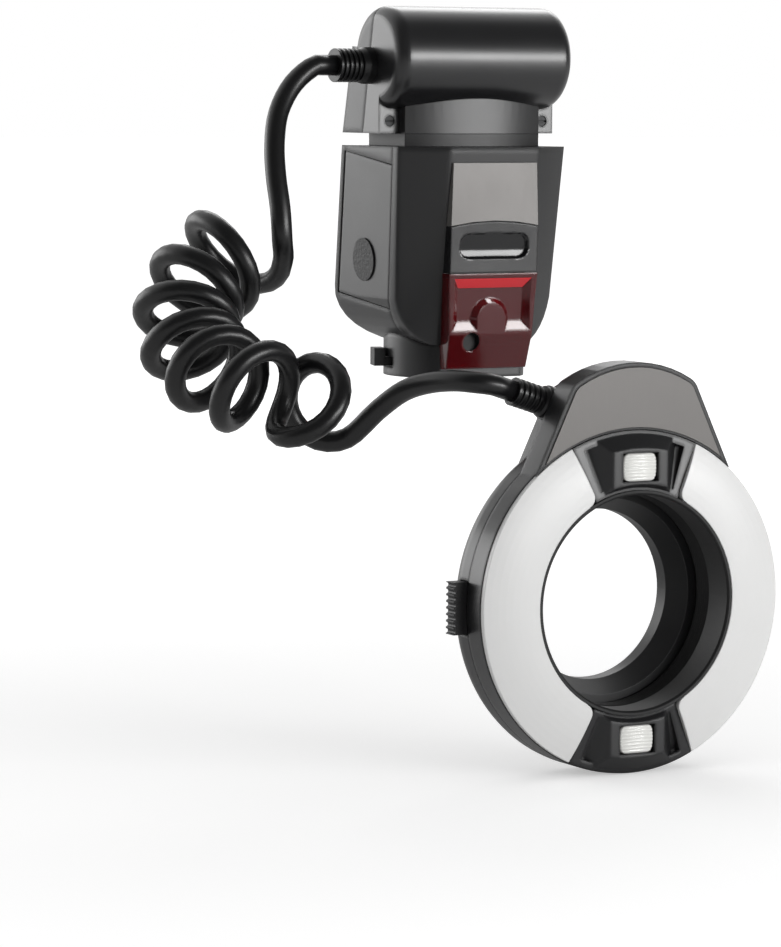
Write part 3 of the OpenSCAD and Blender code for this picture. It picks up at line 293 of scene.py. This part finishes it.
BRUSHED_UP, BRUSHED_DEEP = (1, 1, 0.012), (1, 0.02, 1)
BLACK, DARK = (0.010, 0.010, 0.011), (0.012, 0.012, 0.013)
SATIN = {"Coat_Weight": 0.3, "Coat_Roughness": 0.26}
looks = {
    "shell": surface("shell", BLACK, 0.36, depth=0.000005, edge=0.0015, **SATIN),
    "trim": surface("trim", DARK, 0.42, grain=0.0005, depth=0.000012, wear=0.6),
    "gloss_black": surface("gloss_black", (0.006, 0.006, 0.007), 0.2, depth=0.000001, edge=0.0008,
                           Coat_Weight=0.4, Coat_Roughness=0.1),
    "milky": surface("milky", (0.74, 0.74, 0.735), 0.34, spread=0.015, depth=0.000003, edge=0.0005,
                     Subsurface_Weight=0.25, Subsurface_Radius=(0.002, 0.002, 0.002),
                     Subsurface_Scale=1.0),
    "lamp": surface("lamp", (0.82, 0.82, 0.79), 0.18, spread=0.02, depth=0.000002,
                    Subsurface_Weight=0.2, Subsurface_Radius=(0.001, 0.001, 0.001),
                    Subsurface_Scale=1.0, Coat_Weight=0.7),
    "plate": surface("plate", (0.14, 0.134, 0.129), 0.4, spread=0.16, grain=0.00014, depth=0.0000015,
                     stretch=BRUSHED_UP, blotch=0.03, rough_spread=0.08, edge=0.0002, Metallic=0.35,
                     Anisotropic=0.4),
    "steel": surface("steel", (0.5, 0.49, 0.47), 0.3, spread=0.08, grain=0.0002, depth=0.000002,
                     stretch=BRUSHED_DEEP, edge=0.0002, Metallic=1.0),
    "mirror": surface("mirror", (0.85, 0.85, 0.84), 0.1, spread=0.03, depth=0.000002, edge=0.0002,
                      Metallic=1.0),
    "tube": surface("tube", (0.92, 0.94, 0.96), 0.04, spread=0.01, rough_spread=0.02,
                    depth=0.0000005, Transmission_Weight=0.9, IOR=1.46),
    "glass": surface("glass", (0.8, 0.84, 0.82), 0.05, spread=0.02, rough_spread=0.03,
                     depth=0.0000005, edge=0.0003, Transmission_Weight=0.95, IOR=1.49),
    "display": surface("display", (0.36, 0.42, 0.36), 0.3, spread=0.04, depth=0.000001),
    "red": surface("red", (0.13, 0.003, 0.006), 0.1, spread=0.06, rough_spread=0.02, depth=0.0000008,
                   edge=0.0009, Transmission_Weight=0.6, IOR=1.49, Coat_Weight=0.3,
                   Coat_Roughness=0.05),
    # A brighter red for the red window's upper bevel: painted glow, standing for light carried in
    # the plastic
    "red_painted_glow": surface("red_painted_glow", (0.62, 0.02, 0.03), 0.16, spread=0.06, depth=0.0000008,
                        edge=0.0006, Subsurface_Weight=0.4,
                        Subsurface_Radius=(0.003, 0.0004, 0.0004), Subsurface_Scale=1.0),
    "red_lens": surface("red_lens", (0.12, 0.006, 0.007), 0.12, spread=0.06, depth=0.000002,
                        Coat_Weight=0.5),
    "amber": surface("amber", (0.02, 0.008, 0.008), 0.1, spread=0.1, depth=0.000001,
                     Coat_Weight=0.6),
    "board": surface("board", (0.02, 0.13, 0.05), 0.4, spread=0.2, grain=0.0012, depth=0.00001),
    "cell": surface("cell", (0.5, 0.34, 0.1), 0.3, spread=0.1, depth=0.000002, Metallic=0.4),
    "can": surface("can", (0.02, 0.025, 0.06), 0.32, spread=0.12, depth=0.000003),
    "brass": surface("brass", (0.6, 0.46, 0.2), 0.28, spread=0.08, depth=0.000002, edge=0.0002,
                     Metallic=1.0),
    "rubber": surface("rubber", (0.006, 0.006, 0.0065), 0.34, grain=0.0006, depth=0.000006,
                      wear=0.2),
}
# Pieces that differ from the others of their slot: a glossier drum, shells with softer edges, a
# paler collar, blackened screws, a dull bore, a grained grip and a dark sensor
soft_shell = surface("soft_shell", BLACK, 0.36, depth=0.000005, edge=0.003, **SATIN)
own_looks = {
    "head_front_shell": surface("drum", BLACK, 0.32, depth=0.000004, edge=0.0012, Coat_Weight=0.6,
                                Coat_Roughness=0.24),
    "head_rear_shell": soft_shell,
    "body_front_shell": soft_shell,
    "body_rear_shell": soft_shell,
    "head_collar": surface("collar", (0.016, 0.016, 0.017), 0.36, depth=0.000006, Coat_Weight=0.3,
                           Coat_Roughness=0.3),
    "head_screws": surface("black_steel", (0.02, 0.02, 0.021), 0.45, depth=0.000004, edge=0.0002,
                           Metallic=0.5),
    "bore_liner": surface("bore_black", (0.005, 0.005, 0.0055), 0.6, depth=0.00001, edge=0.0002),
    "door_pad": surface("grip", DARK, 0.5, spread=0.5, grain=0.0011, depth=0.0002, edge=0.0004),
    "window_sensor": surface("sensor", (0.004, 0.004, 0.005), 0.2, depth=0.000001),
}

SMOOTH_ANGLE = math.radians(28)
for part in frame["record"]["subparts"]:
    mesh = nodes[part["node"]].data
    mesh.materials.clear()
    mesh.materials.append(own_looks.get(part["node"], looks[part["material_slot"]]))
    mesh.shade_smooth()
    mesh.set_sharp_from_angle(angle=SMOOTH_ANGLE)
cord.data.materials.append(looks["rubber"])


# Helpers for the small pieces, which are drawn in millimetres
def placed(origin, x, y):
    """Matrix of a flat frame: its origin in millimetres, its own axes x and y."""
    x, y = Vector(x).normalized(), Vector(y).normalized()
    z = x.cross(y)
    m = Matrix((x, y, z)).transposed().to_4x4()
    m.translation = Vector(origin) * MM
    return m


def dressed(obj, where, body, slot_name):
    """Puts a piece that was drawn in millimetres into place and gives it its look."""
    obj.data.transform(where @ Matrix.Scale(MM, 4))
    obj.data.materials.append(looks[slot_name])
    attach(obj, body)
    return obj


def slab(name, outline, low, high):
    """Closed plate between two heights, from an outline that runs anticlockwise."""
    n = len(outline)
    verts = [(x, y, low) for x, y in outline] + [(x, y, high) for x, y in outline]
    faces = [tuple(reversed(range(n))), tuple(range(n, 2 * n))]
    faces += [(i, (i + 1) % n, n + (i + 1) % n, n + i) for i in range(n)]
    return mesh_object(name, verts, faces, smooth=False)


def rectangle(w, h, x=0.0, y=0.0):
    return [(x + sx * w / 2, y + sy * h / 2) for sx, sy in ((-1, -1), (1, -1), (1, 1), (-1, 1))]


def hoop(name, outer, inner, low, high):
    """Closed plate with a hole, from two outlines of the same number of points."""
    n = len(outer)
    verts = [(*p, z) for z in (low, high) for ring in (outer, inner) for p in ring]
    faces = []
    for i in range(n):
        j = (i + 1) % n
        faces += [(i, j, 2 * n + j, 2 * n + i), (n + j, n + i, 3 * n + i, 3 * n + j),
                  (2 * n + i, 2 * n + j, 3 * n + j, 3 * n + i), (j, i, n + i, n + j)]
    return mesh_object(name, verts, faces, smooth=False)


def circle(r, n, x=0.0, y=0.0):
    turns = [2 * math.pi * i / n for i in range(n)]
    return [(x + r * math.cos(a), y + r * math.sin(a)) for a in turns]


# Lamp lenses: bowed sides, round corners and fine ribs across the front
LENS_W, LENS_H, LENS_T = 12.0, 8.6, 2.0
LENS_CORNER, LENS_BOW = 1.6, 0.6
LENS_RIB, LENS_RIBS, LENS_ROWS = 0.22, 8, 64
LENS_BEVEL_W, LENS_BEVEL_T = 0.5, 0.4
# The least square under the corner's root, so that the end rows stay inside the corner
LENS_LEAST = 0.01


def lens_half_width(y):
    bow = LENS_BOW * (2 * y / LENS_H) ** 2
    over = max(0.0, abs(y) - (LENS_H / 2 - LENS_CORNER))
    corner = math.sqrt(max(LENS_CORNER ** 2 - over ** 2, LENS_LEAST))
    return LENS_W / 2 - bow - LENS_CORNER + corner


def lens_section(y, rib):
    """Six points around the lens at one height, with its front raised by the rib."""
    w, top = lens_half_width(y), LENS_T - LENS_RIB + rib
    shoulder, front = top - LENS_BEVEL_T, w - LENS_BEVEL_W
    return [(-w, y, 0), (w, y, 0), (w, y, shoulder), (front, y, top), (-front, y, top),
            (-w, y, shoulder)]


def lamp_lens(name):
    verts, faces = [], []
    for i in range(LENS_ROWS + 1):
        rib = LENS_RIB * abs(math.sin(math.pi * LENS_RIBS * i / LENS_ROWS))
        ring = lens_section(LENS_H * (i / LENS_ROWS - 0.5), rib)
        verts += ring
    n = len(ring)
    for i in range(LENS_ROWS):
        for k in range(n):
            a, b = n * i + k, n * i + (k + 1) % n
            faces.append((a, a + n, b + n, b))
    faces += [tuple(range(n)), tuple(reversed(range(n * LENS_ROWS, n * LENS_ROWS + n)))]
    return mesh_object(name, verts, faces)


for name in ("lamp_lens_top", "lamp_lens_bottom"):
    low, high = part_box(name)
    middle = (low + high) / 2
    lens = lamp_lens("ribbed_" + name)
    where = placed(Vector((middle.x, high.y, middle.z)) / MM, (1, 0, 0), (0, 0, 1))
    dressed(lens, where, "ring_head", "lamp")
    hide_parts(name)

# Gloss panel: the front face in fine rows, with a scoop that runs deeper towards its lower lip
PANEL_LOW, PANEL_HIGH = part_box("gloss_panel")
PANEL_LINE = ((39.0, -25.7), (54.0, -26.2))
PANEL_SHOULDER, PANEL_ARCH = 53.8, 1.6
PANEL_COLUMNS, PANEL_ROWS = 90, 56
SCOOP_Z, SCOOP_HALF_W, SCOOP_HALF_H, SCOOP_CORNER = 47.6, 12.8, 4.2, 3.6
SCOOP_DEPTH, SCOOP_WALL, SCOOP_HEEL = 1.8, 0.7, 3.0
SCOOP_TOP_SHARE, SCOOP_RETURN = 0.3, 0.08


def eased(t):
    """From 0 to 1 with a soft start and end."""
    t = min(max(t, 0.0), 1.0)
    return t * t * (3 - 2 * t)


def scoop_depth(x, z):
    """How far the face is sunk, by the distance from the scoop's edge and the height in it."""
    dx = abs(x) - (SCOOP_HALF_W - SCOOP_CORNER)
    dz = abs(z - SCOOP_Z) - (SCOOP_HALF_H - SCOOP_CORNER)
    inside = SCOOP_CORNER - math.hypot(max(dx, 0), max(dz, 0)) - min(max(dx, dz), 0)
    up = z - (SCOOP_Z - SCOOP_HALF_H)
    if up > SCOOP_HEEL:
        share = 1 - (1 - SCOOP_TOP_SHARE) * (up - SCOOP_HEEL) / (2 * SCOOP_HALF_H - SCOOP_HEEL)
        deep = SCOOP_DEPTH * share
    else:
        deep = SCOOP_DEPTH - SCOOP_RETURN * (SCOOP_HEEL - up)
    return deep * eased(inside / SCOOP_WALL)


def panel_front(x, z):
    """The y of the panel's front face at a point."""
    (z0, y0), (z1, y1) = PANEL_LINE
    return y0 + (y1 - y0) * (z - z0) / (z1 - z0) + scoop_depth(x, z)


def panel_mesh():
    low, high = PANEL_LOW / MM, PANEL_HIGH / MM
    half = (high.x - low.x) / 2
    verts, faces = [], []
    for i in range(PANEL_ROWS + 1):
        for k in range(PANEL_COLUMNS + 1):
            x = half * (2 * k / PANEL_COLUMNS - 1)
            top = PANEL_SHOULDER + PANEL_ARCH * (1 - (x / half) ** 2)
            z = low.z + (top - low.z) * i / PANEL_ROWS
            verts.append((x, panel_front(x, z), z))
    row, count = PANEL_COLUMNS + 1, len(verts)
    rim = list(range(row))
    rim += [row * i + row - 1 for i in range(1, PANEL_ROWS + 1)]
    rim += [count - 1 - k for k in range(1, row)]
    rim += [row * i for i in range(PANEL_ROWS - 1, 0, -1)]
    verts += [(verts[j][0], high.y, verts[j][2]) for j in rim]
    for i in range(PANEL_ROWS):
        for k in range(PANEL_COLUMNS):
            a = i * row + k
            faces.append((a, a + 1, a + row + 1, a + row))
    n = len(rim)
    faces += [(rim[j], count + j, count + (j + 1) % n, rim[(j + 1) % n]) for j in range(n)]
    faces.append(tuple(count + j for j in reversed(range(n))))
    return mesh_object("scooped_panel", verts, faces)


panel = dressed(panel_mesh(), Matrix(), "control_unit", "gloss_black")
panel.data.set_sharp_from_angle(angle=SMOOTH_ANGLE)
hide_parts("gloss_panel")

# The red window: its upper bevel gets a brighter red with subsurface, painted light that stands for
# light carried in the plastic; the walls and floor of its hole are painted black, painted shade of a
# deep hole
BEVEL_LOW_Z, BEVEL_HIGH_Z, BEVEL_FACING = 33.0 * MM, 37.6 * MM, -0.25
WINDOW_FRONT_Y = -20 * MM
SENSOR_X, SENSOR_Z, SENSOR_R = -6.9 * MM, 16.6 * MM, 3.05 * MM
PAINTED_GLOW_LOOK, PAINTED_SHADE_LOOK = 1, 2
window = nodes["red_window"].data
window.materials.append(looks["red_painted_glow"])
window.materials.append(own_looks["bore_liner"])
for face in window.polygons:
    at, facing = face.center, face.normal
    if at.y > WINDOW_FRONT_Y:
        continue
    corners = [window.vertices[v].co for v in face.vertices]
    # The upper bevel takes the brighter red: painted glow
    if BEVEL_LOW_Z < at.z < BEVEL_HIGH_Z and max(facing.y, facing.z) < BEVEL_FACING:
        face.material_index = PAINTED_GLOW_LOOK
    # The hole's walls and floor take the bore's black: painted shade of a deep hole
    if all(math.hypot(c.x - SENSOR_X, c.z - SENSOR_Z) < SENSOR_R for c in corners):
        face.material_index = PAINTED_SHADE_LOOK

# Latch springs: each gets a mesh of its own
for side, inner in (("left", 1), ("right", 0)):
    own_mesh(nodes["latch_spring_" + side])

# Pieces rebuilt from their own solids: round walls shaded as one surface, facets with round edges
WELD = 0.000001
SLIVER = 10 * WELD
FLAT = math.radians(0.5)
SEAM_FACING, TOP_FACING = 0.5, 0.9
SKIN_AXIS_Y = 5 * MM
ROUNDING, ROUNDING_STEPS, ROUND_PROFILE = 2.4 * MM, 5, 0.5
LEAST_TURN, MOST_TURN = math.radians(20), math.radians(110)


def on_skin(face):
    """Whether a face of the front shell looks outwards and is neither the seam's nor the top's."""
    middle = face.calc_center_median()
    out = face.normal.x * middle.x + face.normal.y * (middle.y - SKIN_AXIS_Y)
    return out > 0 and face.normal.y < SEAM_FACING and face.normal.z < TOP_FACING


def facet_edge(edge):
    """Whether an edge is a convex one between two outer facets."""
    return (edge.is_convex and LEAST_TURN < edge.calc_face_angle() < MOST_TURN
            and all(on_skin(f) for f in edge.link_faces))


def round_facets(shape):
    bmesh.ops.dissolve_limit(shape, angle_limit=FLAT, verts=shape.verts, edges=shape.edges)
    edges = [e for e in shape.edges if facet_edge(e)]
    bmesh.ops.bevel(shape, geom=edges, offset=ROUNDING, segments=ROUNDING_STEPS,
                    profile=ROUND_PROFILE, affect="EDGES", clamp_overlap=True)
    bmesh.ops.dissolve_degenerate(shape, dist=SLIVER, edges=shape.edges)


def rebuilt(name, slot_name, facets=False):
    """Puts a welded copy in a solid's place, with its facets' edges rounded where asked."""
    shape = bmesh.new()
    shape.from_mesh(nodes[name].data)
    bmesh.ops.remove_doubles(shape, verts=shape.verts, dist=WELD)
    if facets:
        round_facets(shape)
    shape.verts.index_update()
    obj = mesh_object("smooth_" + name, [v.co.copy() for v in shape.verts],
                      [[v.index for v in f.verts] for f in shape.faces])
    shape.free()
    obj.matrix_world = nodes[name].matrix_world
    obj.data.set_sharp_from_angle(angle=SMOOTH_ANGLE)
    obj.data.materials.append(own_looks.get(name, looks[slot_name]))
    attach(obj, "control_unit")
    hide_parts(name)


rebuilt("head_collar", "trim")
rebuilt("neck", "trim")
rebuilt("body_front_shell", "shell", facets=True)

# Rear side: symbols on the keys, the switch's marks and backing, and the display's mask
REAR = placed((0, 20.4, 79.2), (-1, 0, 0), (0, -0.17124, 0.98523))
GLASS = placed((0, 14.06, 97.3), (-1, 0, 0), (0, -0.22155, 0.97515))
MARK_T = 0.08
KEY_TOP, KEY_PITCH, KEY_Y = 0.9, 14.0, -9.0
SWITCH_X, LOW_ROW_Y, TEST_X, TEST_TOP = 15.0, -41.0, -15.0, 0.8
BAR_LENGTH, BAR_WIDTH = 2.6, 0.5
STUB_LENGTH = (BAR_LENGTH - BAR_WIDTH) / 2
STUB_OFFSET = (BAR_WIDTH + STUB_LENGTH) / 2
DOT_R, DOT_SIDES = 0.8, 20
BOLT = [(-0.2, -2.2), (1.3, 0.5), (0.2, 0.4), (0.6, 2.2), (-1.2, -0.4), (-0.1, -0.3)]
ON_X, OFF_X, STATE_Y = SWITCH_X + 2.5, SWITCH_X - 2.5, LOW_ROW_Y + 4
ON_LENGTH, OFF_R, OFF_HOLE_R, OFF_SIDES = 2.2, 1.1, 0.65, 24
BACKING_W, BACKING_H, BACKING_LOW, BACKING_HIGH = 13, 4.4, -3.6, -3.35
MASK_SIZE, MASK_HOLE, MASK_LOW, MASK_HIGH = (43.6, 16.6), (36, 11.5), -1.69, -1.62


def mark(name, outline, body, base):
    """A thin raised symbol on the rear side."""
    dressed(slab(name, outline, base, base + MARK_T), REAR, body, "milky")


mark("mark_minus", rectangle(BAR_LENGTH, BAR_WIDTH, -KEY_PITCH, KEY_Y), "key_left", KEY_TOP)
mark("mark_dot", circle(DOT_R, DOT_SIDES, 0, KEY_Y), "key_middle", KEY_TOP)
mark("mark_plus_across", rectangle(BAR_LENGTH, BAR_WIDTH, KEY_PITCH, KEY_Y), "key_right", KEY_TOP)
for side in (-1, 1):
    stub = rectangle(BAR_WIDTH, STUB_LENGTH, KEY_PITCH, KEY_Y + side * STUB_OFFSET)
    mark(f"mark_plus_{side}", stub, "key_right", KEY_TOP)
mark("mark_bolt", [(x + TEST_X, y + LOW_ROW_Y) for x, y in BOLT], "test_key", TEST_TOP)
mark("mark_on", rectangle(BAR_WIDTH, ON_LENGTH, ON_X, STATE_Y), "control_unit", 0)
off_rings = [circle(r, OFF_SIDES, OFF_X, STATE_Y) for r in (OFF_R, OFF_HOLE_R)]
dressed(hoop("mark_off", *off_rings, 0, MARK_T), REAR, "control_unit", "milky")
backing = slab("switch_backing", rectangle(BACKING_W, BACKING_H, SWITCH_X, LOW_ROW_Y),
               BACKING_LOW, BACKING_HIGH)
dressed(backing, REAR, "control_unit", "trim")
mask = hoop("display_mask", rectangle(*MASK_SIZE), rectangle(*MASK_HOLE), MASK_LOW, MASK_HIGH)
dressed(mask, GLASS, "control_unit", "gloss_black")

# Floor: pale, and lit up towards white for the camera alone, so that it keeps the shadow
FLOOR_SIZE = 12.0
FLOOR_TONE, FLOOR_ROUGH, FLOOR_SPECULAR = 0.84, 0.9, 0.1
GLOW_FROM, GLOW_TO = 0.15, 1.2
GLOW_LEAST, GLOW_MOST = 0.42, 0.75
WHITE = (1, 1, 1, 1)

floor_z = cad_box[0].z
floor_corners = [(x, y, floor_z) for x, y in rectangle(2 * FLOOR_SIZE, 2 * FLOOR_SIZE)]
floor = mesh_object("floor", floor_corners, [(0, 1, 2, 3)], smooth=False)
floor_look = bpy.data.materials.new("floor")
floor_look.use_nodes = True
tree = floor_look.node_tree
floor_bsdf = tree.nodes["Principled BSDF"]
floor_bsdf.inputs["Base Color"].default_value = (FLOOR_TONE, FLOOR_TONE, FLOOR_TONE, 1)
floor_bsdf.inputs["Roughness"].default_value = FLOOR_ROUGH
floor_bsdf.inputs["Specular IOR Level"].default_value = FLOOR_SPECULAR
position = add(tree, "NewGeometry").outputs["Position"]
far_off = add(tree, "VectorMath", {0: position}, operation="LENGTH").outputs["Value"]
glow = add(tree, "MapRange", {"Value": far_off, "From Min": GLOW_FROM, "From Max": GLOW_TO,
                              "To Min": GLOW_LEAST, "To Max": GLOW_MOST}).outputs[0]
floor_glow = add(tree, "Emission", {"Color": WHITE, "Strength": glow}).outputs[0]
to_camera = add(tree, "LightPath").outputs["Is Camera Ray"]
floor_seen = add(tree, "MixShader", {0: to_camera, 2: floor_glow}).outputs[0]
floor_sum = add(tree, "AddShader", {0: floor_bsdf.outputs[0], 1: floor_seen}).outputs[0]
tree.links.new(floor_sum, tree.nodes["Material Output"].inputs["Surface"])
floor.data.materials.append(floor_look)

# The room: white behind the object, dim in front of it, so that black plastic keeps its depth
AMBIENT = 0.42
ROOM_FRONT, ROOM_BACK = 0.1, 1.0
ROOM_TURNS_FROM, ROOM_TURNS_TO = -0.1, 0.5
BACKDROP = 1.0

world = bpy.data.worlds.new("studio")
scene.world = world
world.use_nodes = True
tree = world.node_tree
rays = add(tree, "LightPath").outputs
facing = add(tree, "SeparateXYZ", {0: add(tree, "TexCoord").outputs["Generated"]}).outputs["Y"]
room = add(tree, "MapRange", {"Value": facing, "From Min": ROOM_TURNS_FROM,
                              "From Max": ROOM_TURNS_TO, "To Min": ROOM_FRONT,
                              "To Max": ROOM_BACK}).outputs[0]
seen = add(tree, "Math", {0: rays["Is Glossy Ray"], 1: rays["Is Transmission Ray"]},
           operation="MAXIMUM").outputs[0]
level = add(tree, "Mix", {"Factor": seen, "A": AMBIENT, "B": room},
            data_type="FLOAT").outputs["Result"]
final = add(tree, "Mix", {"Factor": rays["Is Camera Ray"], "A": level, "B": BACKDROP},
            data_type="FLOAT").outputs["Result"]
tree.links.new(final, tree.nodes["Background"].inputs["Strength"])
tree.nodes["Background"].inputs["Color"].default_value = WHITE

# Lights: soft boxes aimed at the middle of the object, at places and sizes in metres
AIM = point(-30, -30, 30)


def softbox(name, at, width, height, radiance):
    """A soft light that is equally bright all over its face."""
    light = bpy.data.lights.new(name, "AREA")
    light.shape = "RECTANGLE"
    light.size, light.size_y = width, height
    light.energy = radiance * math.pi * width * height
    obj = bpy.data.objects.new(name, light)
    scene.collection.objects.link(obj)
    obj.location = at
    obj.rotation_euler = (AIM - Vector(at)).to_track_quat("-Z", "Y").to_euler()
    obj.visible_camera = False
    return obj


softbox("main_box", (0.74, -1.42, 0.2), width=1.15, height=0.34, radiance=11.8)
softbox("back_box", (-0.85, 1.3, 0.3), width=1.2, height=0.8, radiance=2.0)
softbox("rim_box", (0.75, 1.05, 0.95), width=0.9, height=0.5, radiance=2.8)
# This one lights the red window alone, for the white lights on its bevels
spark = softbox("spark_box", (0.67, -0.62, 1.1), width=0.5, height=0.9, radiance=14.0)
spark_receivers = bpy.data.collections.new("spark_receivers")
spark_receivers.objects.link(nodes["red_window"])
spark.light_linking.receiver_collection = spark_receivers

scene.view_settings.view_transform = "Standard"
